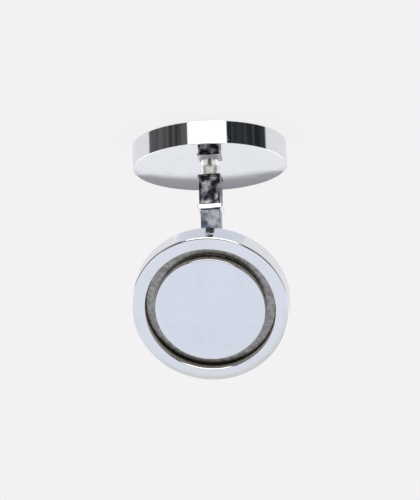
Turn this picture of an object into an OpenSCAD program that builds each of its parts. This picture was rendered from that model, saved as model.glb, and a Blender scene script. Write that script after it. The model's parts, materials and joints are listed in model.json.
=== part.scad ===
// Magnetic security tag detacher: a pot magnet head on a hinged neck that swivels on a round base disc.
// Row frame: +Z runs up the neck's post, and the origin is the centre of the underside that it stands on.

/* [Discs] */
// Diameter of the base disc and of the magnet head
disc_d = 50; // [46:1:70]
// Thickness of the base disc and of the magnet head
disc_t = 7.8; // [7.8:0.1:12]
// Bevel round the outer edges of both discs
disc_bevel = 0.3; // [0.2:0.1:0.8]

/* [Magnet head] */
// Diameter of the centre pole that a tag is set on
pole_d = 35; // [30:1:36]
// Width of the ring groove between the centre pole and the cup's wall
groove_w = 3.25; // [2.5:0.25:4]
// Depth of the ring groove below the pole face
groove_depth = 3.4; // [2:0.1:4]
// Thickness of the cup's back wall
cup_back_t = 2.6; // [2.2:0.1:3]

/* [Neck] */
// Height of the hinge axis above the base disc
hinge_h = 41.5; // [34:0.5:60]
// Width of the square swivel block
block_w = 7.1; // [7:0.1:8]
// Width of the neck bar above the block
bar_w = 6.3; // [6:0.1:7]
// Distance from the hinge axis to the back of the magnet head
hinge_to_head = 6.2; // [6:0.1:9]

/* [Rest pose] */
// Tilt of the magnet head away from the neck's axis
tilt = 50; // [-95:1:95]
// Turn of the neck on its post
turn = 7; // [-180:1:180]

/* [Mounting] */
// Circle of the three tapped holes under the base
mount_pcd = 26; // [22:1:28]
// Tap drill diameter of those holes, for M3
mount_hole_d = 2.5; // [2.5:0.1:3.3]

/* [Hidden] */
$fn = 96;
fit = 0.1;   // added to a hole's diameter round a shaft or screw
eps = 0.01;  // overrun of a cut past the face it opens

// Base disc, from the counter up
pad_t = 1.2;
pad_proud = 0.4;
base_top = pad_proud + disc_t;
plate_t = 2.2;
shell_wall = 2;
shell_top_t = 2.2;
shell_id = disc_d - 2 * shell_wall;
plate_z = pad_t;
cavity_z = plate_z + plate_t;
cavity_h = base_top - shell_top_t - cavity_z;
assembly_pcd = disc_d - 14;
assembly_angles = [30, 150, 270];
mount_angles = [90, 210, 330];
boss_d = 6;
base_screw_d = 2.5;
pad_hole_d = 4.5;
ballast_od = shell_id - 1.6;
ballast_id = 18;
access_d = 9;

// King bolt that holds the neck to the base and lets it swivel
king_d = 3;
king_head_d = 5.5;
king_head_h = 2;
king_washer_od = 8;
king_washer_t = 0.6;
socket_af = 2.5;

// Swivel stack, as heights above the base disc
foot_d = 6.2;
foot_h = 2.8;
thrust_t = 0.4;
block_z = foot_h + thrust_t;
block_h = 10;
block_lip_h = 0.8;
block_lip_w = block_w + 0.4;
block_bevel = 0.6;
bore_h = 3.5;
cavity_d = 5.6;
stack_z = block_z + bore_h;
friction_t = 0.5;
disc_spring_t = 0.4;
disc_spring_rise = 0.4;
nut_z = stack_z + friction_t + disc_spring_t + disc_spring_rise;
round_nut_d = 5.2;
round_nut_t = 1.6;
king_end = nut_z + round_nut_t + 0.4;

// Neck bar and its ferrule
ferrule_z = block_z + block_h;
ferrule_h = 1.8;
ferrule_w = 8;
ferrule_bevel = 0.6;
bar_z = ferrule_z + ferrule_h;
bar_bevel = 0.5;
spigot_d = 5.5;
spigot_h = 4.6;
grub_d = 2;
grub_l = 1.7;
grub_z = ferrule_z - 1.4;
grub_depth = 1;

// Hinge, about the X axis of its own frame
pin_d = 3;
tongue_t = 3;
tongue_r = 3;
shoulder_drop = 4;
hinge_washer_t = 0.3;
hinge_washer_od = 5.8;
ear_t = 1.8;
ear_r = 3.2;
ear_in = tongue_t / 2 + hinge_washer_t;
ear_out = ear_in + ear_t;
hinge_head_d = 5.5;
hinge_head_h = 1.8;
spring_washer_t = 0.6;
hinge_nut_af = 5.5;
hinge_nut_t = 2.4;
hinge_end = ear_out + spring_washer_t + hinge_nut_t + 0.5;
foot_plate_t = 2;
foot_plate_d = 17;
bracket_screw_y = 5.6;
bracket_screw_d = 2.5;
bracket_screw_head_d = 4.4;

// Magnet head, from the cup's back face out
cup_id = pole_d + 2 * groove_w;
gap_ring_t = disc_t - groove_depth - cup_back_t;
pole_t = groove_depth - 0.2;
magnet_t = disc_t - pole_t - cup_back_t;
magnet_d = pole_d - 1;
magnet_id = 5;
pole_bevel = 0.4;
pole_screw_d = 3;
pole_screw_head_d = 6;
pole_screw_bite = 2;

// ---------- frames ----------

// Neck frame: origin on top of the base disc, X along the hinge axis
module at_neck() {
    rotate([0, 0, turn]) translate([0, 0, base_top]) children();
}

// Hinge frame: origin on the hinge axis, +Z towards the magnet head
module at_hinge() {
    at_neck() translate([0, 0, hinge_h]) rotate([tilt, 0, 0]) children();
}

// Head frame: origin at the centre of the head's back face, +Z out of the pole face
module at_head() {
    at_hinge() translate([0, 0, hinge_to_head]) children();
}

// ---------- shapes that repeat ----------

// Turned disc with a bevel on its lower and upper outer edges
module turned_disc(d, h, low, high) {
    rotate_extrude()
        polygon([
            [0, 0], [d / 2 - low, 0], [d / 2, low],
            [d / 2, h - high], [d / 2 - high, h], [0, h],
        ]);
}

// Flat ring or washer
module ring(od, id, h) {
    difference() {
        cylinder(d = od, h = h);
        translate([0, 0, -eps]) cylinder(d = id, h = h + 2 * eps);
    }
}

// Square bar along Z with bevelled long edges
module bevelled_bar(w, h, bevel) {
    half = w / 2;
    flat = half - bevel;
    linear_extrude(height = h)
        polygon([
            [half, -flat], [half, flat], [flat, half], [-flat, half],
            [-half, flat], [-half, -flat], [-flat, -half], [flat, -half],
        ]);
}

// Hexagonal prism across its flats
module hexagon(af, h) {
    cylinder(d = af / cos(30), h = h, $fn = 6);
}

// Copies the children round a circle
module on_circle(pcd, angles) {
    for (a = angles) rotate([0, 0, a]) translate([pcd / 2, 0, 0]) children();
}

// Countersunk hole whose head opens at z = 0 and whose shank runs up
module csk_hole(d, head_d, l) {
    translate([0, 0, -eps]) cylinder(d = d, h = l + 2 * eps);
    translate([0, 0, -eps]) cylinder(d1 = head_d + 2 * eps, d2 = d, h = (head_d - d) / 2 + eps);
}

// Countersunk screw with a hex socket, head face at z = 0 and shank running up
module csk_screw(d, head_d, l, af) {
    cone_h = (head_d - d) / 2;
    difference() {
        union() {
            cylinder(d1 = head_d, d2 = d, h = cone_h);
            translate([0, 0, cone_h]) cylinder(d = d, h = l - cone_h);
        }
        translate([0, 0, -eps]) hexagon(af, cone_h + eps);
    }
}

// Cap screw with a hex socket: head face at z = 0, head and shank running up
module cap_screw(d, head_d, head_h, l, af) {
    bevel = 0.25;
    difference() {
        union() {
            turned_disc(head_d, head_h, bevel, 0);
            translate([0, 0, head_h]) cylinder(d = d, h = l);
        }
        translate([0, 0, -eps]) hexagon(af, head_h * 0.6 + eps);
    }
}

// ---------- base disc ----------

module base_pad() {
    color([0.07, 0.07, 0.075])
        difference() {
            cylinder(d = shell_id - fit, h = pad_t);
            on_circle(mount_pcd, mount_angles)
                translate([0, 0, -eps]) cylinder(d = pad_hole_d, h = pad_t + 2 * eps);
        }
}

module base_plate() {
    color([0.62, 0.63, 0.65])
        translate([0, 0, plate_z])
        difference() {
            ring(shell_id - fit, access_d, plate_t);
            on_circle(mount_pcd, mount_angles)
                translate([0, 0, -eps]) cylinder(d = mount_hole_d, h = plate_t + 2 * eps);
            on_circle(assembly_pcd, assembly_angles)
                csk_hole(base_screw_d + fit, base_screw_d * 1.8, plate_t);
        }
}

module base_screws() {
    color([0.5, 0.5, 0.52])
        on_circle(assembly_pcd, assembly_angles)
        translate([0, 0, plate_z])
        csk_screw(base_screw_d, base_screw_d * 1.8 - fit, plate_t + cavity_h, 1.5);
}

module ballast_ring() {
    color([0.45, 0.45, 0.47])
        translate([0, 0, cavity_z])
        difference() {
            ring(ballast_od, ballast_id, cavity_h);
            on_circle(assembly_pcd, assembly_angles)
                translate([0, 0, -eps]) cylinder(d = boss_d + 2 * fit, h = cavity_h + 2 * eps);
            on_circle(mount_pcd, mount_angles)
                translate([0, 0, -eps]) cylinder(d = pad_hole_d, h = cavity_h + 2 * eps);
        }
}

module base_shell() {
    color([0.86, 0.87, 0.89])
        difference() {
            union() {
                difference() {
                    translate([0, 0, pad_proud]) turned_disc(disc_d, disc_t, disc_bevel, disc_bevel);
                    cylinder(d = shell_id, h = base_top - shell_top_t);
                }
                on_circle(assembly_pcd, assembly_angles)
                    translate([0, 0, cavity_z]) cylinder(d = boss_d, h = cavity_h + shell_top_t / 2);
            }
            on_circle(assembly_pcd, assembly_angles)
                translate([0, 0, cavity_z - eps]) cylinder(d = base_screw_d + fit, h = cavity_h + 0.4);
            translate([0, 0, base_top / 2]) cylinder(d = king_d + fit, h = disc_t);
        }
}

// ---------- swivel ----------

module king_bolt() {
    head_z = base_top - shell_top_t - king_washer_t - king_head_h;
    color([0.5, 0.5, 0.52])
        translate([0, 0, head_z])
        cap_screw(king_d, king_head_d, king_head_h, base_top + king_end - head_z - king_head_h, socket_af);
}

module king_bolt_washer() {
    color([0.62, 0.63, 0.65])
        translate([0, 0, base_top - shell_top_t - king_washer_t])
        ring(king_washer_od, king_d + fit, king_washer_t);
}

// Turned spacer between the base disc and the swivel, with a very shallow waist
module post_spacer() {
    r = foot_d / 2;
    waist = r - 0.1;
    lip = 0.5;
    color([0.86, 0.85, 0.81])
        translate([0, 0, base_top])
        rotate_extrude()
        polygon([
            [(king_d + fit) / 2, 0], [r, 0], [r, lip], [waist, 2 * lip],
            [waist, foot_h - 2 * lip], [r, foot_h - lip], [r, foot_h], [(king_d + fit) / 2, foot_h],
        ]);
}

module swivel_thrust_washer() {
    color([0.9, 0.9, 0.86])
        translate([0, 0, base_top + foot_h]) ring(foot_d + 0.6, king_d + fit, thrust_t);
}

module swivel_block() {
    color([0.12, 0.12, 0.14])
        at_neck()
        difference() {
            union() {
                translate([0, 0, block_z]) bevelled_bar(block_w, block_h, block_bevel);
                translate([0, 0, block_z]) bevelled_bar(block_lip_w, block_lip_h, block_bevel);
            }
            translate([0, 0, block_z - eps]) cylinder(d = king_d + fit, h = bore_h + 2 * eps);
            translate([0, 0, stack_z]) cylinder(d = cavity_d, h = block_h);
            translate([0, 0, grub_z]) rotate([-90, 0, 0]) cylinder(d = grub_d + fit, h = block_w);
        }
}

module swivel_friction_washer() {
    color([0.9, 0.9, 0.86])
        translate([0, 0, base_top + stack_z]) ring(round_nut_d, king_d + fit, friction_t);
}

// Two coned disc springs nested on each other
module swivel_disc_springs() {
    r_in = (king_d + fit) / 2;
    r_out = round_nut_d / 2 - 0.1;
    half = disc_spring_t / 2;
    color([0.35, 0.33, 0.3])
        translate([0, 0, base_top + stack_z + friction_t])
        rotate_extrude()
        for (k = [0, 1])
            polygon([
                [r_out, k * half], [r_out, (k + 0.95) * half],
                [r_in, (k + 0.95) * half + disc_spring_rise], [r_in, k * half + disc_spring_rise],
            ]);
}

// Round nut with two spanner slots across its top
module swivel_nut() {
    slot_w = 0.8;
    color([0.5, 0.5, 0.52])
        translate([0, 0, base_top + nut_z])
        difference() {
            ring(round_nut_d, king_d + fit, round_nut_t);
            translate([-round_nut_d, -slot_w / 2, round_nut_t / 2]) cube([2 * round_nut_d, slot_w, round_nut_t]);
        }
}

// ---------- neck ----------

// Bevelled ferrule clamped between the block and the bar's shoulder
module neck_ferrule() {
    color([0.93, 0.93, 0.94])
        at_neck()
        translate([0, 0, ferrule_z])
        difference() {
            intersection() {
                bevelled_bar(ferrule_w, ferrule_h, 1.1);
                turned_disc(ferrule_w * 1.35, ferrule_h, ferrule_bevel, ferrule_bevel);
            }
            translate([0, 0, -eps]) cylinder(d = spigot_d + fit, h = ferrule_h + 2 * eps);
        }
}

module neck_bar() {
    shoulder_z = hinge_h - shoulder_drop;
    color([0.3, 0.32, 0.36])
        at_neck()
        difference() {
            union() {
                translate([0, 0, bar_z - spigot_h]) cylinder(d = spigot_d, h = spigot_h + 0.5);
                translate([0, 0, bar_z]) bevelled_bar(bar_w, shoulder_z - bar_z, bar_bevel);
                translate([-tongue_t / 2, -tongue_r, shoulder_z - 0.5])
                    cube([tongue_t, 2 * tongue_r, shoulder_drop + 0.5]);
                translate([-tongue_t / 2, 0, hinge_h]) rotate([0, 90, 0]) cylinder(r = tongue_r, h = tongue_t);
            }
            translate([-bar_w, 0, hinge_h]) rotate([0, 90, 0]) cylinder(d = pin_d + fit, h = 2 * bar_w);
            translate([0, spigot_d / 2 - grub_depth, grub_z])
                rotate([-90, 0, 0]) cylinder(d = grub_d + fit, h = spigot_d);
        }
}

module neck_set_screw() {
    tip = spigot_d / 2 - grub_depth;
    color([0.3, 0.3, 0.31])
        at_neck()
        translate([0, tip, grub_z])
        rotate([-90, 0, 0])
        difference() {
            cylinder(d = grub_d, h = grub_l);
            translate([0, 0, grub_l / 2]) hexagon(0.9, grub_l);
        }
}

// ---------- hinge ----------

module hinge_bracket() {
    plate_z0 = hinge_to_head - foot_plate_t;
    color([0.7, 0.71, 0.73])
        at_hinge()
        difference() {
            union() {
                translate([0, 0, plate_z0]) turned_disc(foot_plate_d, foot_plate_t, 0.4, 0);
                for (side = [-1, 1])
                    translate([side * (ear_in + ear_t / 2) - ear_t / 2, 0, 0]) {
                        rotate([0, 90, 0]) cylinder(r = ear_r, h = ear_t);
                        translate([0, -ear_r, 0]) cube([ear_t, 2 * ear_r, plate_z0 + 0.5]);
                    }
            }
            translate([-foot_plate_d, 0, 0]) rotate([0, 90, 0]) cylinder(d = pin_d + fit, h = 2 * foot_plate_d);
            for (side = [-1, 1])
                translate([0, side * bracket_screw_y, plate_z0])
                    csk_hole(bracket_screw_d + fit, bracket_screw_head_d, foot_plate_t);
        }
}

module hinge_screw() {
    color([0.5, 0.5, 0.52])
        at_hinge()
        translate([-ear_out - hinge_head_h, 0, 0])
        rotate([0, 90, 0])
        cap_screw(pin_d, hinge_head_d, hinge_head_h, ear_out + hinge_end, 2);
}

module hinge_friction_washers() {
    color([0.9, 0.9, 0.86])
        at_hinge()
        for (x = [-ear_in, tongue_t / 2])
            translate([x, 0, 0]) rotate([0, 90, 0]) ring(hinge_washer_od, pin_d + fit, hinge_washer_t);
}

// Split spring washer under the hinge nut
module hinge_spring_washer() {
    color([0.35, 0.33, 0.3])
        at_hinge()
        translate([ear_out, 0, 0])
        rotate([0, 90, 0])
        difference() {
            ring(hinge_head_d - 0.2, pin_d + fit, spring_washer_t);
            rotate([35, 0, 0]) translate([0, -0.2, -hinge_head_d]) cube([hinge_head_d, 0.4, 2 * hinge_head_d]);
        }
}

module hinge_nut() {
    color([0.5, 0.5, 0.52])
        at_hinge()
        translate([ear_out + spring_washer_t, 0, 0])
        rotate([0, 90, 0])
        difference() {
            intersection() {
                hexagon(hinge_nut_af, hinge_nut_t);
                turned_disc(hinge_nut_af / cos(30), hinge_nut_t, 0.3, 0.3);
            }
            translate([0, 0, -eps]) cylinder(d = pin_d + fit, h = hinge_nut_t + 2 * eps);
        }
}

module bracket_screws() {
    color([0.5, 0.5, 0.52])
        at_hinge()
        for (side = [-1, 1])
            translate([0, side * bracket_screw_y, hinge_to_head - foot_plate_t])
                csk_screw(bracket_screw_d, bracket_screw_head_d - fit, foot_plate_t + cup_back_t - 0.6, 1.5);
}

// ---------- magnet head ----------

module head_cup() {
    color([0.86, 0.87, 0.89])
        at_head()
        difference() {
            turned_disc(disc_d, disc_t, disc_bevel, disc_bevel);
            translate([0, 0, cup_back_t]) cylinder(d = cup_id, h = disc_t);
            csk_hole(pole_screw_d + fit, pole_screw_head_d, cup_back_t);
            for (side = [-1, 1])
                translate([0, side * bracket_screw_y, -eps])
                    cylinder(d = bracket_screw_d + fit, h = cup_back_t - 0.4);
        }
}

module magnet_ring() {
    color([0.78, 0.77, 0.72])
        at_head() translate([0, 0, cup_back_t]) ring(magnet_d, magnet_id, magnet_t);
}

// Non-magnetic steel ring that centres the magnet and forms the groove's floor
module gap_ring() {
    color([0.33, 0.32, 0.3])
        at_head() translate([0, 0, cup_back_t]) ring(cup_id - fit, magnet_d + fit, gap_ring_t);
}

module pole_cap() {
    color([0.8, 0.83, 0.88])
        at_head()
        translate([0, 0, disc_t - pole_t])
        difference() {
            turned_disc(pole_d, pole_t, 0.1, pole_bevel);
            translate([0, 0, -eps]) cylinder(d = pole_screw_d + fit, h = pole_screw_bite + 0.3);
        }
}

module pole_screw() {
    color([0.5, 0.5, 0.52])
        at_head()
        csk_screw(pole_screw_d, pole_screw_head_d - fit, cup_back_t + magnet_t + pole_screw_bite, 2);
}

// ---------- assembly ----------

base_pad();
base_plate();
base_screws();
ballast_ring();
base_shell();
king_bolt();
king_bolt_washer();
post_spacer();
swivel_thrust_washer();
swivel_block();
swivel_friction_washer();
swivel_disc_springs();
swivel_nut();
neck_ferrule();
neck_bar();
neck_set_screw();
hinge_bracket();
hinge_screw();
hinge_friction_washers();
hinge_spring_washer();
hinge_nut();
bracket_screws();
head_cup();
magnet_ring();
gap_ring();
pole_cap();
pole_screw();
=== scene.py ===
import json
import math

import bmesh
import bpy
from mathutils import Matrix, Vector, noise


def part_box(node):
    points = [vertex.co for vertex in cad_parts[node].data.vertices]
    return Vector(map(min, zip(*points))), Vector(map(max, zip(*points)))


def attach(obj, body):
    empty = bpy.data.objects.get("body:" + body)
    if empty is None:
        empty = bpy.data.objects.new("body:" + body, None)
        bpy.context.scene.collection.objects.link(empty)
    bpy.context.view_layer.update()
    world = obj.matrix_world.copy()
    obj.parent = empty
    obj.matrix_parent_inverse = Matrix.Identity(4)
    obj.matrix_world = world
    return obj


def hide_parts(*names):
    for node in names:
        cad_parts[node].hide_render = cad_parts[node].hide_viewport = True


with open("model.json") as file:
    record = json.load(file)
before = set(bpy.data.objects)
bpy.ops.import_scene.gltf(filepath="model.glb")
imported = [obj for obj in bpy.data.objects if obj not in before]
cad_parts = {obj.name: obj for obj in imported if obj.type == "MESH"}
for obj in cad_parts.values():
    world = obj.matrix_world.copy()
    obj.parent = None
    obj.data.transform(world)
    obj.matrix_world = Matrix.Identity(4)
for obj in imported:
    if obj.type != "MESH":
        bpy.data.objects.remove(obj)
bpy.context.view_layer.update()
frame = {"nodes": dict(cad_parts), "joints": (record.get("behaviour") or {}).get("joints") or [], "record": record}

# ---------------------------------------------------------------------------
# Camera: a long lens at arm's length, sixteen degrees above the base disc.
# The piece is shown hanging from its base, head down, so the camera is rolled right over.

camera_distance = 0.864
camera_rise = math.radians(16.04)
camera_roll = math.radians(1.68)
toward_camera = Vector((0, -math.cos(camera_rise), math.sin(camera_rise)))
picture_right = Vector((-1, 0, 0))
picture_down = Vector((0, math.sin(camera_rise), math.cos(camera_rise)))
rolled_right = math.cos(camera_roll) * picture_right + math.sin(camera_roll) * picture_down
rolled_down = math.cos(camera_roll) * picture_down - math.sin(camera_roll) * picture_right
neck_middle = Vector((0, 0, 0.0354))
aim_left, aim_down = 0.00077, 0.00058
camera_place = neck_middle + camera_distance * toward_camera
camera_target = neck_middle - aim_left * rolled_right + aim_down * rolled_down
lens_back = (camera_place - camera_target).normalized()
lens_up = (-rolled_down + lens_back * rolled_down.dot(lens_back)).normalized()
lens_right = lens_up.cross(lens_back)
studio_camera = bpy.data.objects.new("studio_camera", bpy.data.cameras.new("studio_camera"))
studio_camera.data.lens = 193.3
studio_camera.data.sensor_width = 36
studio_camera.matrix_world = Matrix.Translation(camera_place) @ Matrix(
    (lens_right, lens_up, lens_back)).transposed().to_4x4()
bpy.context.scene.collection.objects.link(studio_camera)
bpy.context.scene.camera = studio_camera
bpy.context.scene.view_settings.view_transform = "Standard"

# ---------------------------------------------------------------------------
# Light: a white light tent with a gap for the camera. A bright panel lies low in front between two
# dark flags, the room shows dark through the gap above it, and two brighter cloths hang high behind.


def put(tree, kind, **values):
    """Adds a node of that kind and sets its inputs by name; spaces are written as underscores."""
    made = tree.nodes.new(kind)
    for name, value in values.items():
        if hasattr(made, name):
            setattr(made, name, value)
        else:
            made.inputs[name.replace("_", " ")].default_value = value
    return made


def sums(tree, operation, first, second=None):
    """One Math node on sockets or plain numbers; returns its output."""
    made = put(tree, "ShaderNodeMath", operation=operation)
    for place, value in enumerate((first, second)):
        if value is None:
            continue
        if isinstance(value, (int, float)):
            made.inputs[place].default_value = value
        else:
            tree.links.new(value, made.inputs[place])
    return made.outputs[0]


def ease_in(tree, value, low, high):
    """0 below low, 1 above high, eased between."""
    made = put(tree, "ShaderNodeMapRange", interpolation_type="SMOOTHSTEP", From_Min=low, From_Max=high)
    tree.links.new(value, made.inputs["Value"])
    return made.outputs["Result"]


def scaled(tree, value, factor, start):
    """The value times a factor, on top of a start."""
    return sums(tree, "ADD", sums(tree, "MULTIPLY", value, factor), start)


def blend_colours(tree, share, first, second):
    """Mixes two colours, each a socket or a plain colour, by a share that is a socket or a number."""
    made = put(tree, "ShaderNodeMix", data_type="RGBA")
    for socket, value in zip((made.inputs[0], made.inputs[6], made.inputs[7]), (share, first, second)):
        if isinstance(value, (int, float)):
            socket.default_value = value
        elif isinstance(value, tuple):
            socket.default_value = (*value, 1)
        else:
            tree.links.new(value, socket)
    return made.outputs[2]


tent = bpy.data.worlds.new("light_tent")
tent.use_nodes = True
air = tent.node_tree
air.nodes.clear()
way_out = put(air, "ShaderNodeTexCoord").outputs["Generated"]
ray = put(air, "ShaderNodeSeparateXYZ")
air.links.new(way_out, ray.inputs[0])
side = sums(air, "ARCTAN2", ray.outputs["X"], sums(air, "MULTIPLY", ray.outputs["Y"], -1.0))
height = ray.outputs["Z"]
roof = put(air, "ShaderNodeValToRGB")
stops = roof.color_ramp.elements
stops[0].color = (0.82, 0.82, 0.83, 1)
stops[1].color = (0.68, 0.68, 0.69, 1)
for place, colour in ((0.45, (0.80, 0.80, 0.82, 1)), (0.62, (0.87, 0.88, 0.91, 1)),
                      (0.80, (0.90, 0.91, 0.94, 1)), (0.93, (0.785, 0.815, 0.895, 1)),
                      (0.954, (0.775, 0.810, 0.895, 1)), (0.972, (0.69, 0.69, 0.69, 1))):
    stops.new(place).color = colour
air.links.new(scaled(air, height, 0.5, 0.5), roof.inputs[0])
tent_colour = roof.outputs["Color"]
cloth = put(air, "ShaderNodeTexNoise", Scale=7.0, Detail=3.0, Roughness=0.6, Distortion=0.6)
air.links.new(way_out, cloth.inputs["Vector"])
folds = ease_in(air, cloth.outputs["Fac"], 0.38, 0.66)
# Each panel: where it starts and stops, in degrees round from the front, its foot and its top as
# shares of straight up, and its light. The dark ones are cloth, which hangs in folds.
front_panel = (-26.0, 32.0, -0.50, -0.03, (2.40, 2.40, 2.40))
right_flag = (31.8, 101.4, -0.55, 0.01, (0.07, 0.07, 0.072))
left_flag = (-93.1, -25.4, -0.55, 0.01, (0.032, 0.036, 0.038))
right_upper_card = (46.0, 96.0, 0.0, 0.27, (0.40, 0.40, 0.40))
left_upper_card = (-93.0, -46.0, 0.0, 0.27, (0.30, 0.30, 0.30))
camera_gap = (-24.0, 32.0, 0.10, 0.74, (0.03, 0.03, 0.032))
right_back_cloth = (102.0, 190.0, 0.37, 0.74, (1.25, 1.25, 1.27))
left_back_cloth = (-190.0, -98.0, 0.37, 0.74, (1.25, 1.25, 1.27))
side_panel = (100.0, 130.0, 0.02, 0.40, (1.20, 1.20, 1.22))
soft_side, soft_end = 2, 0.04
for start, stop, low, high, colour in (
        front_panel, right_flag, left_flag, right_upper_card, left_upper_card, camera_gap,
        right_back_cloth, left_back_cloth, side_panel):
    across = sums(air, "SUBTRACT", *(
        ease_in(air, side, math.radians(edge - soft_side), math.radians(edge + soft_side))
        for edge in (start, stop)))
    upward = sums(air, "SUBTRACT", *(
        ease_in(air, height, edge - soft_end, edge + soft_end) for edge in (low, high)))
    if max(colour) < 0.1:
        colour = blend_colours(air, folds, tuple(0.55 * part for part in colour),
                               tuple(1.7 * part for part in colour))
    tent_colour = blend_colours(air, sums(air, "MULTIPLY", across, upward), tent_colour, colour)
sky = put(air, "ShaderNodeBackground", Strength=1.0)
air.links.new(tent_colour, sky.inputs["Color"])
air.links.new(sky.outputs[0], put(air, "ShaderNodeOutputWorld").inputs["Surface"])
bpy.context.scene.world = tent

# ---------------------------------------------------------------------------
# Floor: a broad sheet of pale paper under the base, evenly lit from below, so that only a faint
# shadow is left round what stands on it. A bowed grey card behind puts a soft edge in the base's top.

bpy.ops.object.select_all(action="DESELECT")
bpy.ops.mesh.primitive_grid_add(x_subdivisions=4, y_subdivisions=4, size=9, location=(0, 0, 0))
paper_floor = bpy.context.object
paper_floor.name = "paper_floor"
paper = bpy.data.materials.new("lit_paper")
paper.use_nodes = True
pulp = paper.node_tree
pulp.nodes.clear()
glow = put(pulp, "ShaderNodeEmission", Color=(0.914, 0.895, 0.903, 1), Strength=1.0)
matt = put(pulp, "ShaderNodeBsdfDiffuse", Color=(0.95, 0.93, 0.94, 1))
sheet_mix = put(pulp, "ShaderNodeMixShader", Fac=0.10)
pulp.links.new(glow.outputs[0], sheet_mix.inputs[1])
pulp.links.new(matt.outputs[0], sheet_mix.inputs[2])
pulp.links.new(sheet_mix.outputs[0], put(pulp, "ShaderNodeOutputMaterial").inputs["Surface"])
paper_floor.data.materials.append(paper)
paper_floor.visible_glossy = False

bpy.ops.object.select_all(action="DESELECT")
bpy.ops.mesh.primitive_grid_add(x_subdivisions=2, y_subdivisions=2, size=1, location=(0, 0.120, 0.0382),
                                rotation=(math.radians(90), 0, 0))
grey_card = bpy.context.object
grey_card.name = "grey_card"
grey_card.scale = (0.09, 0.0130, 1)
card_paint = bpy.data.materials.new("card_grey")
card_paint.use_nodes = True
card_tree = card_paint.node_tree
card_tree.nodes.clear()
card_up = put(card_tree, "ShaderNodeSeparateXYZ")
card_tree.links.new(put(card_tree, "ShaderNodeTexCoord").outputs["Object"], card_up.inputs[0])
card_bow = sums(card_tree, "MULTIPLY", sums(card_tree, "MULTIPLY", card_up.outputs["X"],
                                            card_up.outputs["X"]), -2.4)
card_fade = ease_in(card_tree, sums(card_tree, "ADD", card_up.outputs["Y"], card_bow), 0.25, 0.43)
card_glow = put(card_tree, "ShaderNodeEmission", Strength=1.0)
card_tree.links.new(blend_colours(
    card_tree, ease_in(card_tree, card_up.outputs["Y"], -0.35, 0.2), (0.212, 0.209, 0.221),
    (0.325, 0.324, 0.345)), card_glow.inputs["Color"])
card_clear = put(card_tree, "ShaderNodeBsdfTransparent")
card_mix = put(card_tree, "ShaderNodeMixShader")
card_tree.links.new(card_fade, card_mix.inputs[0])
card_tree.links.new(card_glow.outputs[0], card_mix.inputs[1])
card_tree.links.new(card_clear.outputs[0], card_mix.inputs[2])
card_tree.links.new(card_mix.outputs[0], put(card_tree, "ShaderNodeOutputMaterial").inputs["Surface"])
grey_card.data.materials.append(card_paint)
grey_card.visible_camera = False
grey_card.visible_diffuse = False
grey_card.visible_shadow = False

# ---------------------------------------------------------------------------
# Base shell: a turned steel dish, open underneath, with three screw bosses inside.
# It is polished and chrome plated, with a small rounded bevel on both outer edges.


def turn_on_lathe(name, rings, sides=192, bored=False):
    """Turns a piece about Z: a circle drawn out from ring to ring, each (radius, height).
    A bored piece's profile comes back to where it began; any other is closed by an end face."""
    bpy.ops.object.select_all(action="DESELECT")
    bpy.ops.mesh.primitive_circle_add(vertices=sides, radius=rings[0][0], fill_type="NOTHING",
                                      location=(0, 0, rings[0][1]))
    piece = bpy.context.object
    piece.name = name
    piece.data.name = name
    bpy.ops.object.transform_apply(location=True, rotation=True, scale=True)
    bpy.ops.object.mode_set(mode="EDIT")
    bpy.ops.mesh.select_mode(type="EDGE")
    bpy.ops.mesh.select_all(action="SELECT")
    if not bored:
        bpy.ops.mesh.edge_face_add()
    radius, level = rings[0]
    for new_radius, new_level in rings[1:]:
        bpy.ops.mesh.extrude_region_move(TRANSFORM_OT_translate={"value": (0, 0, new_level - level)})
        growth = new_radius / radius
        bpy.ops.transform.resize(value=(growth, growth, 1), center_override=(0, 0, new_level))
        radius, level = new_radius, new_level
    bpy.ops.mesh.select_all(action="SELECT")
    bpy.ops.mesh.remove_doubles(threshold=1e-6)
    bpy.ops.mesh.normals_make_consistent(inside=False)
    bpy.ops.object.mode_set(mode="OBJECT")
    return piece


def only(piece):
    """Makes that piece the one selected and active object."""
    bpy.ops.object.select_all(action="DESELECT")
    piece.select_set(True)
    bpy.context.view_layer.objects.active = piece


def take_edges_off(piece, width, segments=3, sharper_than=32):
    """Rounds the sharp edges as a fine file does, then shades the faces smooth by their area."""
    only(piece)
    eased = piece.modifiers.new("eased_edges", "BEVEL")
    eased.width = width
    eased.segments = segments
    eased.limit_method = "ANGLE"
    eased.angle_limit = math.radians(sharper_than)
    bpy.ops.object.modifier_apply(modifier=eased.name)
    bpy.ops.object.shade_smooth_by_angle(angle=math.radians(40))
    leaned = piece.modifiers.new("flats_stay_flat", "WEIGHTED_NORMAL")
    leaned.weight = 80
    leaned.keep_sharp = True
    bpy.ops.object.modifier_apply(modifier=leaned.name)
    return piece


def join_pieces(piece, *others):
    """Joins separate shells into one object."""
    only(piece)
    for other in others:
        other.select_set(True)
    bpy.ops.object.join()
    return piece


def machine(piece, tool, operation):
    """Cuts the tool out of the piece, or welds it on, and throws the tool away."""
    only(piece)
    step = piece.modifiers.new("machining", "BOOLEAN")
    step.operation = operation
    step.solver = "EXACT"
    step.object = tool
    bpy.ops.object.modifier_apply(modifier=step.name)
    bpy.data.objects.remove(tool)
    return piece


def grain_group(name, inputs, outputs):
    """A new shader group with float outputs, and inputs given as name: (type, default).
    Returns the group with its input and output nodes."""
    group = bpy.data.node_groups.new(name, "ShaderNodeTree")
    for socket, (kind, value) in inputs.items():
        made = group.interface.new_socket(name=socket, in_out="INPUT", socket_type=kind)
        if value is not None:
            made.default_value = value
    for socket in outputs:
        group.interface.new_socket(name=socket, in_out="OUTPUT", socket_type="NodeSocketFloat")
    return group, group.nodes.new("NodeGroupInput"), group.nodes.new("NodeGroupOutput")


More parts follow.
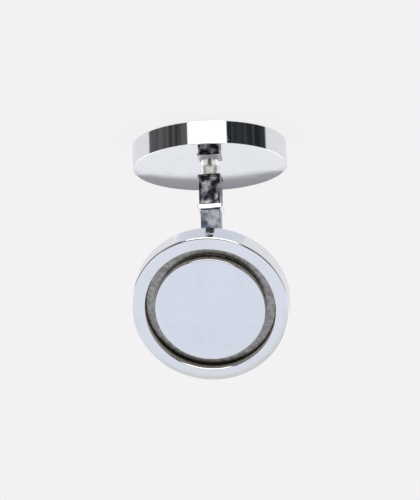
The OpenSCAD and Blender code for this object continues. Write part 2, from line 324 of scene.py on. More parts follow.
# Polishing lines: rings left by the buff, found by distance from the piece's own Z axis and by height.
buffing, buffing_in, buffing_out = grain_group(
    "buffing_rings", {
        "Vector": ("NodeSocketVector", None), "Lines": ("NodeSocketFloat", 9000.0)}, ["Rings"])
spot = put(buffing, "ShaderNodeSeparateXYZ")
buffing.links.new(buffing_in.outputs["Vector"], spot.inputs[0])
squares = [sums(buffing, "MULTIPLY", spot.outputs[axis], spot.outputs[axis]) for axis in "XY"]
reach = sums(buffing, "SQRT", sums(buffing, "ADD", *squares))
along = put(buffing, "ShaderNodeCombineXYZ")
lines = buffing_in.outputs["Lines"]
buffing.links.new(sums(buffing, "MULTIPLY", reach, lines), along.inputs["X"])
buffing.links.new(sums(buffing, "MULTIPLY", spot.outputs["Z"], lines), along.inputs["Y"])
buffing.links.new(sums(buffing, "MULTIPLY", spot.outputs["X"], 60.0), along.inputs["Z"])
rings_noise = put(buffing, "ShaderNodeTexNoise", Scale=1.0, Detail=3.0, Roughness=0.6)
buffing.links.new(along.outputs[0], rings_noise.inputs["Vector"])
buffing.links.new(ease_in(buffing, rings_noise.outputs["Fac"], 0.3, 0.7), buffing_out.inputs["Rings"])

# Handling: soft smudges from fingers, and hair-thin scratches that run two ways.
handling, handling_in, handling_out = grain_group(
    "handling_marks", {
        "Vector": ("NodeSocketVector", None), "Smudge Scale": ("NodeSocketFloat", 140.0),
        "Scratch Scale": ("NodeSocketFloat", 900.0)}, ["Smudges", "Scratches"])
smear = put(handling, "ShaderNodeTexNoise", Detail=4.0, Roughness=0.55, Distortion=0.8)
handling.links.new(handling_in.outputs["Vector"], smear.inputs["Vector"])
handling.links.new(handling_in.outputs["Smudge Scale"], smear.inputs["Scale"])
handling.links.new(ease_in(handling, smear.outputs["Fac"], 0.45, 0.72), handling_out.inputs["Smudges"])
hairs = []
for turned_by, stretch in ((0.6, (1.0, 0.035, 0.5)), (-0.9, (0.04, 1.0, 0.6))):
    lay = put(handling, "ShaderNodeMapping", Rotation=(0.3, turned_by, turned_by), Scale=stretch)
    handling.links.new(handling_in.outputs["Vector"], lay.inputs["Vector"])
    hair = put(handling, "ShaderNodeTexNoise", Detail=2.0, Roughness=0.5, Distortion=0.15)
    handling.links.new(lay.outputs[0], hair.inputs["Vector"])
    handling.links.new(handling_in.outputs["Scratch Scale"], hair.inputs["Scale"])
    hairs.append(ease_in(handling, hair.outputs["Fac"], 0.66, 0.74))
handling.links.new(sums(handling, "MAXIMUM", hairs[0], hairs[1]), handling_out.inputs["Scratches"])


def new_finish(name):
    """A new material; returns it with its tree, its Principled shader and its Object vector."""
    finish = bpy.data.materials.new(name)
    finish.use_nodes = True
    tree = finish.node_tree
    tree.nodes.clear()
    shader = put(tree, "ShaderNodeBsdfPrincipled")
    tree.links.new(shader.outputs[0], put(tree, "ShaderNodeOutputMaterial").inputs["Surface"])
    return finish, tree, shader, put(tree, "ShaderNodeTexCoord").outputs["Object"]


def in_piece_frame(tree, vector, place):
    """Turns and moves the pattern so that its origin and Z axis are the piece's own."""
    back = place.inverted()
    laid = put(tree, "ShaderNodeMapping", Rotation=tuple(back.to_euler("XYZ")),
               Location=tuple(back.translation))
    tree.links.new(vector, laid.inputs["Vector"])
    return laid.outputs[0]


def add_relief(tree, shader, height, strength, depth):
    """Feeds a height into the shader's normal as a bump of that depth in metres."""
    relief = put(tree, "ShaderNodeBump", Strength=strength, Distance=depth)
    tree.links.new(height, relief.inputs["Height"])
    tree.links.new(relief.outputs[0], shader.inputs["Normal"])


def chrome_finish(name, colour, place, roughness=0.035, lines=9000.0, relief=0.00000012):
    """Bright chrome plate over buffed steel, on a piece turned about its own Z axis."""
    finish, tree, shader, vector = new_finish(name)
    shader.inputs["Metallic"].default_value = 1.0
    vector = in_piece_frame(tree, vector, place)
    rings = put(tree, "ShaderNodeGroup", node_tree=buffing, Lines=lines)
    marks = put(tree, "ShaderNodeGroup", node_tree=handling)
    tree.links.new(vector, rings.inputs["Vector"])
    tree.links.new(vector, marks.inputs["Vector"])
    dulled = tuple(part * 0.965 for part in colour)
    tree.links.new(blend_colours(tree, marks.outputs["Smudges"], colour, dulled),
                   shader.inputs["Base Color"])
    rough = scaled(tree, marks.outputs["Smudges"], 0.03, roughness)
    rough = scaled(tree, marks.outputs["Scratches"], 0.09, rough)
    rough = scaled(tree, rings.outputs["Rings"], 0.012, rough)
    tree.links.new(rough, shader.inputs["Roughness"])
    worked = sums(tree, "SUBTRACT", rings.outputs["Rings"], marks.outputs["Scratches"])
    add_relief(tree, shader, worked, 1.0, relief)
    return finish


base_place = Matrix.Identity(4)
shell_low, shell_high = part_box("base_shell")
disc_radius = shell_high.x
disc_top = shell_high.z
shell_ceiling = disc_top - 0.0022
cavity_r = 0.02300
bolt_hole_r = 0.00155
base_shell_skin = turn_on_lathe("base_shell_skin", [
    (bolt_hole_r, shell_ceiling), (cavity_r, shell_ceiling), (cavity_r, shell_low.z),
    (disc_radius, shell_low.z), (disc_radius, disc_top), (bolt_hole_r, disc_top),
    (bolt_hole_r, shell_ceiling)], sides=256, bored=True)
take_edges_off(base_shell_skin, 0.00030, segments=6)
boss_circle_r, boss_r, boss_hole_r = 0.018, 0.0030, 0.0013
boss_end, boss_root = 0.0034, shell_ceiling + 0.0001
for number, angle in enumerate((30, 150, 270)):
    boss = turn_on_lathe(f"shell_boss_{number}", [
        (boss_hole_r, boss_end), (boss_r, boss_end), (boss_r, boss_root), (boss_hole_r, boss_root),
        (boss_hole_r, boss_end)], sides=40, bored=True)
    boss.data.transform(Matrix.Translation((boss_circle_r * math.cos(math.radians(angle)),
                                            boss_circle_r * math.sin(math.radians(angle)), 0)))
    take_edges_off(boss, 0.00015, segments=2)
    join_pieces(base_shell_skin, boss)
base_shell_skin.data.materials.append(
    chrome_finish("base_chrome_plate", (0.86, 0.87, 0.89), base_place))
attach(base_shell_skin, "base")
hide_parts("base_shell")

# ---------------------------------------------------------------------------
# Base pad: a moulded rubber disc glued under the base, with shallow grip grooves
# on its underside and three clearance holes for the counter screws.

pad_low, pad_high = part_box("base_pad")
pad_radius = pad_high.x
pad_centre_r = 0.0030
pad_edge = 0.0003
groove_top = pad_low.z + pad_edge
grip_profile = [(pad_centre_r, pad_high.z), (pad_radius, pad_high.z), (pad_radius, groove_top),
                (pad_radius - pad_edge, pad_low.z)]
for groove in (0.0208, 0.0190, 0.0172, 0.0088, 0.0070, 0.0052):
    grip_profile += [(groove + 0.0003, pad_low.z), (groove + 0.00015, groove_top),
                     (groove - 0.00015, groove_top), (groove - 0.0003, pad_low.z)]
grip_profile.append((pad_centre_r, pad_low.z))
grip_pad = turn_on_lathe("grip_pad", grip_profile, sides=160)
counter_circle_r, counter_hole_r = 0.013, 0.00225
for angle in (90, 210, 330):
    drill = turn_on_lathe("pad_punch", [(counter_hole_r, -0.002), (counter_hole_r, 0.004)], sides=32)
    drill.data.transform(Matrix.Translation((counter_circle_r * math.cos(math.radians(angle)),
                                             counter_circle_r * math.sin(math.radians(angle)), 0)))
    machine(grip_pad, drill, "DIFFERENCE")
only(grip_pad)
bpy.ops.object.shade_smooth_by_angle(angle=math.radians(35))
pad_rubber, tree, shader, vector = new_finish("moulded_rubber")
crumb = put(tree, "ShaderNodeTexNoise", Scale=5200.0, Detail=5.0, Roughness=0.65)
bloom = put(tree, "ShaderNodeTexNoise", Scale=160.0, Detail=4.0, Roughness=0.6)
tree.links.new(vector, crumb.inputs["Vector"])
tree.links.new(vector, bloom.inputs["Vector"])
dusty = ease_in(tree, bloom.outputs["Fac"], 0.45, 0.8)
tree.links.new(blend_colours(tree, dusty, (0.022, 0.022, 0.024), (0.060, 0.059, 0.058)),
               shader.inputs["Base Color"])
tree.links.new(scaled(tree, dusty, 0.16, 0.66), shader.inputs["Roughness"])
add_relief(tree, shader, crumb.outputs["Fac"], 0.7, 0.00003)
shader.inputs["Specular IOR Level"].default_value = 0.35
grip_pad.data.materials.append(pad_rubber)
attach(grip_pad, "base")
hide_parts("base_pad")

# ---------------------------------------------------------------------------
# Inside the base: a zinc-plated plate with tapped holes, a cast ballast ring and the fasteners.
# They are the CAD's own shapes, with plating, casting skin and turned steel to their surfaces.


def plain_steel(name, colour, roughness, grain=(900.0, 900.0, 60.0), tarnish=(0.55, 0.53, 0.50),
                worn=0.25):
    """Turned, rolled or milled steel: a fine grain that runs one way, and a little uneven tarnish."""
    finish, tree, shader, vector = new_finish(name)
    shader.inputs["Metallic"].default_value = 1.0
    laid = put(tree, "ShaderNodeMapping", Scale=grain)
    tree.links.new(vector, laid.inputs["Vector"])
    fibre = put(tree, "ShaderNodeTexNoise", Scale=4.0, Detail=4.0, Roughness=0.6)
    tree.links.new(laid.outputs[0], fibre.inputs["Vector"])
    marks = put(tree, "ShaderNodeGroup", node_tree=handling, Smudge_Scale=420.0, Scratch_Scale=1400.0)
    tree.links.new(vector, marks.inputs["Vector"])
    stained = tuple(part * stain for part, stain in zip(colour, tarnish))
    share = sums(tree, "MULTIPLY", marks.outputs["Smudges"], worn)
    tree.links.new(blend_colours(tree, share, colour, stained), shader.inputs["Base Color"])
    rough = scaled(tree, fibre.outputs["Fac"], 0.16, roughness)
    rough = scaled(tree, marks.outputs["Smudges"], 0.10, rough)
    tree.links.new(rough, shader.inputs["Roughness"])
    worked = sums(tree, "SUBTRACT", fibre.outputs["Fac"], marks.outputs["Scratches"])
    add_relief(tree, shader, worked, 0.6, 0.000004)
    return finish


def dress(node, finish):
    """Gives a CAD node its finish in its own slots."""
    for own_slot in frame["nodes"][node].material_slots:
        own_slot.material = finish


fine_even_grain = (1500.0, 1500.0, 1500.0)
zinc_plate = plain_steel("zinc_plate", (0.60, 0.61, 0.63), 0.24, grain=(700.0, 40.0, 700.0),
                         tarnish=(0.8, 0.78, 0.7))
turned_screw_steel = plain_steel("turned_screw_steel", (0.56, 0.56, 0.58), 0.20,
                                 grain=fine_even_grain)
cast_ballast = plain_steel("cast_ballast", (0.20, 0.20, 0.21), 0.48, grain=(260.0, 260.0, 260.0),
                           worn=0.5)
dress("base_plate", zinc_plate)
dress("king_bolt_washer", zinc_plate)
dress("ballast_ring", cast_ballast)
for screw_node in ("base_screws", "king_bolt", "swivel_nut", "bracket_screws", "pole_screw"):
    dress(screw_node, turned_screw_steel)

# ---------------------------------------------------------------------------
# Swivel washers and springs: acetal washers that the neck turns on, and two coned springs
# of blued steel. The thrust washer's rim is the only one of them that shows.

acetal, tree, shader, vector = new_finish("matt_acetal")
cloud = put(tree, "ShaderNodeTexNoise", Scale=900.0, Detail=4.0, Roughness=0.6)
tree.links.new(vector, cloud.inputs["Vector"])
tree.links.new(blend_colours(tree, cloud.outputs["Fac"], (0.80, 0.79, 0.75), (0.88, 0.875, 0.85)),
               shader.inputs["Base Color"])
tree.links.new(scaled(tree, cloud.outputs["Fac"], 0.12, 0.24), shader.inputs["Roughness"])
add_relief(tree, shader, cloud.outputs["Fac"], 0.4, 0.00001)
for washer_node in ("swivel_thrust_washer", "swivel_friction_washer", "hinge_friction_washers"):
    dress(washer_node, acetal)
blued_spring_steel = plain_steel("blued_spring_steel", (0.22, 0.22, 0.26), 0.22,
                                 tarnish=(0.9, 0.7, 0.55), worn=0.6)
dress("swivel_disc_springs", blued_spring_steel)

# ---------------------------------------------------------------------------
# Post spacer: a small steel collar that narrows a little to its top, turned from bar and plated in
# nickel. It stands on the base disc and the neck turns on top of it.

spacer_low, spacer_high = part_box("post_spacer")
collar_r = spacer_high.x
collar_skin = turn_on_lathe("post_collar", [
    (bolt_hole_r, spacer_low.z), (collar_r - 0.0001, spacer_low.z),
    (collar_r, spacer_low.z + 0.0001), (collar_r - 0.00006, spacer_low.z + 0.0005),
    (collar_r - 0.00036, spacer_high.z - 0.0003), (collar_r - 0.00044, spacer_high.z),
    (bolt_hole_r, spacer_high.z), (bolt_hole_r, spacer_low.z)], sides=96, bored=True)
take_edges_off(collar_skin, 0.00006)
collar_skin.data.materials.append(plain_steel(
    "satin_nickel", (0.96, 0.95, 0.91), 0.17, grain=fine_even_grain,
    tarnish=(0.85, 0.84, 0.80), worn=0.7))
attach(collar_skin, "base")
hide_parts("post_spacer")

# ---------------------------------------------------------------------------
# Swivel block: a small square cast block with a lip at its foot. Its faces are left hammered and
# blackened, and only the high spots have been polished bright.

tilt_joint = next(joint for joint in frame["joints"] if joint["name"] == "head_tilt")
hinge_point = Vector(tilt_joint["pos_m"])
hinge_line = Vector(tilt_joint["axis"]).normalized()
neck_up = Vector((0, 0, 1))
neck_place = Matrix((hinge_line, neck_up.cross(hinge_line), neck_up)).transposed().to_4x4()


def square_block(name, half_x, half_y, bottom, top, corner, corner_steps=2):
    """A square bar along Z, from a cube whose four long edges are bevelled by that much."""
    bpy.ops.object.select_all(action="DESELECT")
    bpy.ops.mesh.primitive_cube_add(size=1, location=(0, 0, (bottom + top) / 2))
    piece = bpy.context.object
    piece.name = name
    piece.data.name = name
    piece.scale = (2 * half_x, 2 * half_y, top - bottom)
    bpy.ops.object.transform_apply(location=True, rotation=True, scale=True)
    bpy.ops.object.mode_set(mode="EDIT")
    shape = bmesh.from_edit_mesh(piece.data)
    bpy.ops.mesh.select_mode(type="EDGE")
    bpy.ops.mesh.select_all(action="DESELECT")
    for edge in shape.edges:
        edge.select_set(abs(edge.verts[0].co.z - edge.verts[1].co.z) > 1e-5)
    bmesh.update_edit_mesh(piece.data)
    bpy.ops.mesh.bevel(offset=corner, segments=corner_steps, affect="EDGES")
    bpy.ops.object.mode_set(mode="OBJECT")
    return piece


block_low, block_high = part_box("swivel_block")
lip_top = block_low.z + 0.0008
block_half = 0.00355
lip_half = block_half + 0.0002
block_corner = 0.0006
block_skin = square_block("swivel_block_casting", block_half, block_half, lip_top - 0.0001,
                          block_high.z, block_corner)
block_lip = square_block("block_lip", lip_half, lip_half, block_low.z, lip_top, block_corner)
take_edges_off(block_skin, 0.00012, segments=2, sharper_than=50)
take_edges_off(block_lip, 0.00014, segments=2, sharper_than=50)
longest_facet = 0.00034
only(block_skin)
bpy.ops.object.mode_set(mode="EDIT")
bpy.ops.mesh.select_mode(type="FACE")
bpy.ops.mesh.select_all(action="SELECT")
bpy.ops.mesh.quads_convert_to_tris()
for _ in range(5):
    shape = bmesh.from_edit_mesh(block_skin.data)
    bpy.ops.mesh.select_all(action="DESELECT")
    bpy.ops.mesh.select_mode(type="EDGE")
    for edge in shape.edges:
        edge.select_set(edge.calc_length() > longest_facet)
    bmesh.update_edit_mesh(block_skin.data)
    bpy.ops.mesh.subdivide(number_cuts=1)
    bpy.ops.mesh.select_all(action="SELECT")
    bpy.ops.mesh.quads_convert_to_tris()
bpy.ops.object.mode_set(mode="OBJECT")
dent_depth = 0.00010
for vertex in block_skin.data.vertices:
    spot_there = vertex.co
    if lip_top + 0.0001 < spot_there.z < block_high.z - 0.0002:
        dent = noise.noise(spot_there * 560) + 0.2 * noise.noise(spot_there * 1300)
        outward = Vector((spot_there.x, spot_there.y, 0)) / block_half
        vertex.co = spot_there - outward * dent_depth * (0.5 + 0.6 * dent)
only(block_skin)
bpy.ops.object.shade_smooth_by_angle(angle=math.radians(60))
spigot_hole_r = 0.0028
for bored_piece, hole_r, hole_bottom, hole_top in (
        (block_skin, bolt_hole_r, -0.001, 0.0036), (block_skin, spigot_hole_r, 0.0035, 0.011),
        (block_lip, bolt_hole_r, -0.001, 0.002)):
    bore_tool = turn_on_lathe("block_bore", [
        (hole_r, block_low.z + hole_bottom), (hole_r, block_low.z + hole_top)], sides=48)
    machine(bored_piece, bore_tool, "DIFFERENCE")
join_pieces(block_skin, block_lip)
block_skin.data.transform(neck_place)
blackened_casting, tree, shader, vector = new_finish("blackened_casting")
shader.inputs["Metallic"].default_value = 1.0
humps = put(tree, "ShaderNodeTexNoise", Scale=470.0, Detail=0.6, Roughness=0.45)
pits = put(tree, "ShaderNodeTexNoise", Scale=2600.0, Detail=4.0, Roughness=0.6)
tree.links.new(vector, humps.inputs["Vector"])
tree.links.new(vector, pits.inputs["Vector"])
skin_height = scaled(tree, pits.outputs["Fac"], 0.10, humps.outputs["Fac"])
rubbed = ease_in(tree, skin_height, 0.50, 0.82)
tree.links.new(blend_colours(tree, rubbed, (0.018, 0.020, 0.027), (0.42, 0.41, 0.44)),
               shader.inputs["Base Color"])
tree.links.new(sums(tree, "SUBTRACT", 0.36, sums(tree, "MULTIPLY", rubbed, 0.10)),
               shader.inputs["Roughness"])
add_relief(tree, shader, skin_height, 0.5, 0.00020)
block_skin.data.materials.append(blackened_casting)
block_skin.data.materials.append(plain_steel("milled_block_foot", (0.70, 0.70, 0.71), 0.14))
for face in block_skin.data.polygons:
    face.material_index = 1 if face.normal.z < -0.7 else 0
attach(block_skin, "neck")
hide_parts("swivel_block")

# ---------------------------------------------------------------------------
# Set screw: a cup-point grub screw in the back of the block, black oxide, the CAD's own shape.

black_oxide = plain_steel("black_oxide", (0.045, 0.045, 0.05), 0.34, grain=fine_even_grain, worn=0.4)
dress("neck_set_screw", black_oxide)

# ---------------------------------------------------------------------------
# Ferrule: a square chrome collar with rounded bevels, clamped between the block and the bar.

ferrule_low, ferrule_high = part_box("neck_ferrule")
ferrule_half = 0.004
ferrule_skin = square_block("ferrule_skin", ferrule_half, ferrule_half, ferrule_low.z,
                            ferrule_high.z, 0.0005, corner_steps=3)
take_edges_off(ferrule_skin, 0.0004, segments=5, sharper_than=50)
ferrule_bore = turn_on_lathe("ferrule_bore", [
    (spigot_hole_r, ferrule_low.z - 0.001), (spigot_hole_r, ferrule_high.z + 0.001)], sides=48)
machine(ferrule_skin, ferrule_bore, "DIFFERENCE")
ferrule_skin.data.transform(neck_place)
ferrule_skin.data.materials.append(
    chrome_finish("ferrule_chrome_plate", (0.95, 0.95, 0.96), neck_place, lines=14000.0))
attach(ferrule_skin, "neck")
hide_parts("neck_ferrule")

# ---------------------------------------------------------------------------
# Neck bar: drawn square steel with its corners rounded, a turned spigot that goes down into the
# block, and a flat tongue with a round end for the hinge. The grain runs the way it was drawn.

bar_bottom = ferrule_high.z
shoulder = hinge_point.z - 0.004
bar_half = 0.00315
tongue_r, tongue_half = 0.003, 0.0015
bar_skin = square_block("neck_bar_skin", bar_half, bar_half, bar_bottom, shoulder, 0.0004)
tongue = square_block("tongue_blank", tongue_half, tongue_r, shoulder - 0.0005, hinge_point.z,
                      0.0002, corner_steps=1)
machine(bar_skin, tongue, "UNION")
on_its_side = Matrix.Rotation(math.radians(90), 4, "Y")
at_hinge = Matrix.Translation((0, 0, hinge_point.z)) @ on_its_side
tongue_end = turn_on_lathe("tongue_end", [(tongue_r, -tongue_half), (tongue_r, tongue_half)], sides=64)
tongue_end.data.transform(at_hinge)
machine(bar_skin, tongue_end, "UNION")
pin_drill = turn_on_lathe("pin_drill", [(bolt_hole_r, -0.006), (bolt_hole_r, 0.006)], sides=48)
pin_drill.data.transform(at_hinge)
machine(bar_skin, pin_drill, "DIFFERENCE")
take_edges_off(bar_skin, 0.00016, segments=2, sharper_than=50)
spigot_r = 0.00275
spigot = turn_on_lathe("bar_spigot", [
    (0.0024, bar_bottom - 0.0046), (spigot_r, bar_bottom - 0.0043), (spigot_r, bar_bottom + 0.0002)],
    sides=64)
take_edges_off(spigot, 0.0001, segments=2)
join_pieces(bar_skin, spigot)
bar_skin.data.transform(neck_place)
drawn_bar, tree, shader, vector = new_finish("drawn_blue_grey_bar")
shader.inputs["Metallic"].default_value = 1.0
vector = in_piece_frame(tree, vector, neck_place)
drawn = put(tree, "ShaderNodeMapping", Scale=(2600.0, 2600.0, 45.0))
tree.links.new(vector, drawn.inputs["Vector"])
draw_lines = put(tree, "ShaderNodeTexNoise", Scale=1.0, Detail=4.0, Roughness=0.6)
tree.links.new(drawn.outputs[0], draw_lines.inputs["Vector"])
wave = put(tree, "ShaderNodeTexNoise", Scale=380.0, Detail=1.0, Roughness=0.4)
tree.links.new(vector, wave.inputs["Vector"])
bar_marks = put(tree, "ShaderNodeGroup", node_tree=handling, Smudge_Scale=300.0, Scratch_Scale=1300.0)
tree.links.new(vector, bar_marks.inputs["Vector"])
tree.links.new(blend_colours(
    tree, ease_in(tree, wave.outputs["Fac"], 0.30, 0.70), (0.030, 0.036, 0.058),
    (0.185, 0.195, 0.210)), shader.inputs["Base Color"])
smeared = scaled(tree, bar_marks.outputs["Smudges"], 0.08, 0.12)
tree.links.new(scaled(tree, draw_lines.outputs["Fac"], 0.14, smeared), shader.inputs["Roughness"])
ripple = scaled(tree, draw_lines.outputs["Fac"], 0.03, wave.outputs["Fac"])
add_relief(tree, shader, ripple, 0.8, 0.00022)
bar_skin.data.materials.append(drawn_bar)
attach(bar_skin, "neck")
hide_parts("neck_bar")

# ---------------------------------------------------------------------------
# Hinge bracket: milled from steel in one piece, a round foot plate on the back of the head with
# two ears that straddle the tongue. Two countersunk holes take the bracket screws.

pole_mount = next(mount for mount in frame["record"]["mounts"] if mount["name"] == "pole_face")
face_centre = Vector(pole_mount["pos_m"])
face_out = Vector(pole_mount["axis"]).normalized()
head_across = face_out.cross(hinge_line)
head_turn = Matrix((hinge_line, head_across, face_out)).transposed().to_4x4()
hinge_place = Matrix.Translation(hinge_point) @ head_turn
foot_back, foot_r = 0.0062, 0.0085
ear_gap, ear_half, ear_r = 0.0018, 0.0009, 0.0032
bracket_skin = turn_on_lathe("bracket_skin", [
    (0.0081, foot_back - 0.002), (foot_r, foot_back - 0.0016), (foot_r, foot_back)], sides=128)
for way in (-1, 1):
    ear_place = Matrix.Translation((way * (ear_gap + ear_half), 0, 0))
    ear = square_block("bracket_ear", ear_half, ear_r, 0.0, foot_back - 0.0015, 0.00005, corner_steps=1)
    ear.data.transform(ear_place)
    machine(bracket_skin, ear, "UNION")
    ear_end = turn_on_lathe("ear_end", [(ear_r, -ear_half), (ear_r, ear_half)], sides=80)
    ear_end.data.transform(ear_place @ on_its_side)
    machine(bracket_skin, ear_end, "UNION")
pin_drill = turn_on_lathe("pin_drill", [(bolt_hole_r, -0.01), (bolt_hole_r, 0.01)], sides=48)
pin_drill.data.transform(on_its_side)
machine(bracket_skin, pin_drill, "DIFFERENCE")
bracket_screw_y, bracket_screw_r = 0.0056, 0.0013
for way in (-1, 1):
    sink = turn_on_lathe("screw_sink", [
        (0.0023, foot_back - 0.0021), (bracket_screw_r, foot_back - 0.00105),
        (bracket_screw_r, foot_back + 0.0002)], sides=48)
    sink.data.transform(Matrix.Translation((0, way * bracket_screw_y, 0)))
    machine(bracket_skin, sink, "DIFFERENCE")
take_edges_off(bracket_skin, 0.00012, segments=2, sharper_than=45)
bracket_skin.data.transform(hinge_place)
bracket_skin.data.materials.append(plain_steel(
    "milled_bracket_steel", (0.66, 0.67, 0.69), 0.16, grain=(500.0, 60.0, 500.0), worn=0.2))
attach(bracket_skin, "head")
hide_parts("hinge_bracket")

# ---------------------------------------------------------------------------
# Hinge screw: an M3 cap screw across the ears, with a knurled head, a hex socket and a rolled
# thread that shows past the nut.

head_r, shank_r = 0.00275, 0.0015
knurl_start, knurl_stop = -0.0049, -0.0038
screw_head_skin = turn_on_lathe("hinge_cap_screw", [
    (head_r - 0.0003, -0.0054), (head_r - 0.00008, -0.0052), (head_r, knurl_start),
    (head_r, knurl_stop), (head_r - 0.0001, -0.0036), (shank_r, -0.0036), (shank_r, 0.0040)], sides=72)
only(screw_head_skin)
bpy.ops.object.mode_set(mode="EDIT")
bpy.ops.mesh.select_mode(type="FACE")
bpy.ops.mesh.select_all(action="DESELECT")
shape = bmesh.from_edit_mesh(screw_head_skin.data)
for face in shape.faces:
    middle = face.calc_center_median()
    around = round(math.degrees(math.atan2(middle.y, middle.x)) / 5 - 0.5)
    on_rim = knurl_start < middle.z < knurl_stop and math.hypot(middle.x, middle.y) > head_r - 0.0001
    face.select_set(on_rim and around % 2 == 0)
bmesh.update_edit_mesh(screw_head_skin.data)
bpy.ops.mesh.inset(thickness=0.00003, depth=-0.00009, use_individual=True)
bpy.ops.object.mode_set(mode="OBJECT")


def hexagon(name, across_flats, thickness, middle_z):
    """A hexagonal blank along Z, by its size across flats."""
    bpy.ops.object.select_all(action="DESELECT")
    bpy.ops.mesh.primitive_cylinder_add(
        vertices=6, radius=across_flats / 2 / math.cos(math.radians(30)), depth=thickness,
        location=(0, 0, middle_z))
    piece = bpy.context.object
    piece.name = name
    bpy.ops.object.transform_apply(location=True, rotation=True, scale=True)
    return piece


machine(screw_head_skin, hexagon("socket_punch", 0.0020, 0.0022, -0.0054), "DIFFERENCE")
only(screw_head_skin)
bpy.ops.object.shade_smooth_by_angle(angle=math.radians(25))
thread_rings = [(shank_r, 0.0038)]
while thread_rings[-1][1] < 0.0066:
    crest = thread_rings[-1][1]
    thread_rings += [(shank_r, crest + 0.00012), (0.00127, crest + 0.00026), (shank_r, crest + 0.00044)]
thread_rings += [(shank_r, 0.0069), (0.00122, 0.0071)]
screw_thread = turn_on_lathe("screw_thread", thread_rings, sides=64)
only(screw_thread)
bpy.ops.object.shade_smooth_by_angle(angle=math.radians(25))
join_pieces(screw_head_skin, screw_thread)
screw_head_skin.data.transform(hinge_place @ on_its_side)
screw_head_skin.data.materials.append(turned_screw_steel)
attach(screw_head_skin, "head")
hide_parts("hinge_screw")

# ---------------------------------------------------------------------------
# Hinge nut and split washer: a hexagon nut with its corners turned off on both faces, drawn up on
# a spring washer whose cut ends stand a little apart.

nut_skin = hexagon("hinge_nut_skin", 0.0055, 0.0024, 0.0054)
corner_cone = turn_on_lathe("corner_cone", [
    (0.00265, 0.0042), (0.00320, 0.00452), (0.00320, 0.00628), (0.00265, 0.0066)], sides=96)
machine(nut_skin, corner_cone, "INTERSECT")
nut_bore = turn_on_lathe("nut_bore", [
    (0.00185, 0.0041), (bolt_hole_r, 0.0045), (bolt_hole_r, 0.0063), (0.00185, 0.0067)], sides=48)
machine(nut_skin, nut_bore, "DIFFERENCE")
take_edges_off(nut_skin, 0.00006, segments=2, sharper_than=40)
nut_skin.data.transform(hinge_place @ on_its_side)
nut_skin.data.materials.append(turned_screw_steel)
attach(nut_skin, "head")
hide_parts("hinge_nut")

bpy.ops.object.select_all(action="DESELECT")
bpy.ops.mesh.primitive_plane_add(size=1, location=(0.00212, 0, 0.00388),
                                 rotation=(math.radians(90), 0, 0))
split_washer = bpy.context.object
split_washer.name = "split_washer"
split_washer.scale = (0.00106, 0.00052, 1)
bpy.ops.object.transform_apply(location=True, rotation=True, scale=True)
bpy.ops.object.mode_set(mode="EDIT")
bpy.ops.mesh.select_all(action="SELECT")
bpy.ops.mesh.spin(steps=72, angle=math.radians(349), center=(0, 0, 0), axis=(0, 0, 1))
bpy.ops.mesh.select_all(action="SELECT")
bpy.ops.mesh.remove_doubles(threshold=1e-6)
bpy.ops.mesh.select_all(action="SELECT")
bpy.ops.mesh.normals_make_consistent(inside=False)
bpy.ops.object.mode_set(mode="OBJECT")
take_edges_off(split_washer, 0.00005, segments=2, sharper_than=50)
split_washer.data.transform(hinge_place @ on_its_side)
split_washer.data.materials.append(blued_spring_steel)
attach(split_washer, "head")
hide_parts("hinge_spring_washer")

# ---------------------------------------------------------------------------
# Magnet cup: a deep steel dish that carries the flux round the magnet, turned, polished and
# chrome plated. Inside the groove its wall is matt, with painted shade that darkens it towards
# the groove's floor. Its back has a countersunk hole for the pole screw.

head_depth = 0.0078
head_place = Matrix.Translation(face_centre - face_out * head_depth) @ head_turn
cup_r = disc_radius
cup_floor, cup_bore_r = 0.0026, 0.02075
cup_skin = turn_on_lathe("magnet_cup_skin", [
    (bolt_hole_r, cup_floor), (cup_bore_r, cup_floor), (cup_bore_r, head_depth - 0.00025),
    (0.0210, head_depth), (0.0230, head_depth), (0.0236, head_depth - 0.000016),
    (0.0242, head_depth - 0.000053), (cup_r - 0.00030, head_depth - 0.00010),
    (cup_r, head_depth - 0.00042), (cup_r, 0.0003), (cup_r - 0.0003, 0.0), (0.0030, 0.0),
    (bolt_hole_r, 0.00145), (bolt_hole_r, cup_floor)], sides=256, bored=True)
take_edges_off(cup_skin, 0.00009)
cup_skin.data.materials.append(chrome_finish("cup_chrome_plate", (0.86, 0.87, 0.89), head_place))
# Groove wall finish: a matt light plate near the groove's mouth, with painted shade that turns it near black
# deeper down, its edge wobbled by noise.
groove_plate_painted_shade, tree, shader, vector = new_finish("groove_plate_with_painted_shade")
shader.inputs["Metallic"].default_value = 0.4
wall_depth = put(tree, "ShaderNodeSeparateXYZ")
tree.links.new(in_piece_frame(tree, vector, head_place), wall_depth.inputs[0])
shade_edge_wobble = put(tree, "ShaderNodeTexNoise", Scale=800.0, Detail=4.0, Roughness=0.6)
tree.links.new(vector, shade_edge_wobble.inputs["Vector"])
painted_shade_line = scaled(tree, shade_edge_wobble.outputs["Fac"], 0.0008, wall_depth.outputs["Z"])
# Painted shade: below this depth the wall's colour goes to near black.
clear_of_painted_shade = ease_in(tree, painted_shade_line, 0.0054, 0.0076)
tree.links.new(blend_colours(tree, clear_of_painted_shade, (0.05, 0.046, 0.042), (0.90, 0.84, 0.73)),
               shader.inputs["Base Color"])
tree.links.new(sums(tree, "SUBTRACT", 0.42, sums(tree, "MULTIPLY", clear_of_painted_shade, 0.15)),
               shader.inputs["Roughness"])


def groove_wall_with_painted_shade(piece, radius, low, high):
    """Gives the wall at that radius a second finish: a matt plate with painted shade, near black deep in the
    groove.
    """
    piece.data.materials.append(groove_plate_painted_shade)
    for face in piece.data.polygons:
        middle = face.center
        off_wall = abs(math.hypot(middle.x, middle.y) - radius)
        if off_wall < 0.00006 and low < middle.z < high:
            face.material_index = 1


groove_wall_with_painted_shade(cup_skin, cup_bore_r, 0.0030, 0.0074)
cup_skin.data.transform(head_place)
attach(cup_skin, "head")
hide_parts("head_cup")

# ---------------------------------------------------------------------------
# Magnet and gap ring: a nickel-plated ring magnet, and the stainless ring that centres it. The ring's
# top is the groove's floor, left as turned, with the tool's ridges running round it.

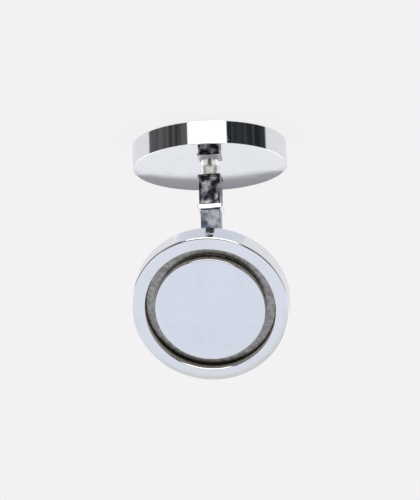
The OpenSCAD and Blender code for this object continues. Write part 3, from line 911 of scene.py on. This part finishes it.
dress("magnet_ring", plain_steel("nickel_plate", (0.70, 0.67, 0.60), 0.16,
                                 grain=(400.0, 400.0, 400.0)))
floor_level = 0.0044
joint_level = floor_level - 0.0009
ring_inner_r, ring_outer_r = 0.01705, 0.0207
ridge_pitch, ridge_depth = 0.000304, 0.000012
ridge_profile = [(ring_inner_r, cup_floor), (ring_inner_r, floor_level)]
for ridge in range(11):
    ridge_start = ring_inner_r + ridge * ridge_pitch
    ridge_profile += [(ridge_start + along_it * ridge_pitch, floor_level - down * ridge_depth)
                      for along_it, down in ((0.25, 0.5), (0.5, 1.0), (0.75, 0.5), (1.0, 0.0))]
ridge_profile += [(0.0205, joint_level), (ring_outer_r, joint_level), (ring_outer_r, cup_floor),
                  (ring_inner_r, cup_floor)]
gap_skin = turn_on_lathe("gap_ring_skin", ridge_profile, sides=192, bored=True)
only(gap_skin)
bpy.ops.object.shade_smooth_by_angle(angle=math.radians(60))
gap_skin.data.transform(head_place)
turned_gap_steel, tree, shader, vector = new_finish("turned_gap_steel")
shader.inputs["Metallic"].default_value = 1.0
stain = put(tree, "ShaderNodeTexNoise", Scale=700.0, Detail=5.0, Roughness=0.6)
tree.links.new(vector, stain.inputs["Vector"])
tree.links.new(blend_colours(
    tree, ease_in(tree, stain.outputs["Fac"], 0.35, 0.65), (0.39, 0.38, 0.37),
    (0.25, 0.235, 0.215)), shader.inputs["Base Color"])
tree.links.new(scaled(tree, stain.outputs["Fac"], 0.12, 0.12), shader.inputs["Roughness"])
add_relief(tree, shader, stain.outputs["Fac"], 0.3, 0.00002)
gap_skin.data.materials.append(turned_gap_steel)
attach(gap_skin, "head")
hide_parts("gap_ring")

# ---------------------------------------------------------------------------
# Pole cap: the polished centre disc that a tag is set on, turned from soft steel and chrome plated,
# with a narrow rounding at its edge and a blind hole in its back for the pole screw.

pole_r, pole_back = 0.0175, 0.0046
pole_skin = turn_on_lathe("pole_cap_skin", [
    (bolt_hole_r, 0.0069), (bolt_hole_r, pole_back), (pole_r, pole_back), (pole_r, head_depth)],
    sides=256)
take_edges_off(pole_skin, 0.00036, segments=6)
pole_skin.data.materials.append(
    chrome_finish("pole_chrome_plate", (0.84, 0.86, 0.89), head_place, roughness=0.05))
# The pole's side wall in the groove takes the same matt finish with painted shade.
groove_wall_with_painted_shade(pole_skin, pole_r, 0.0050, 0.0074)
pole_skin.data.transform(head_place)
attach(pole_skin, "head")
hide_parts("pole_cap")
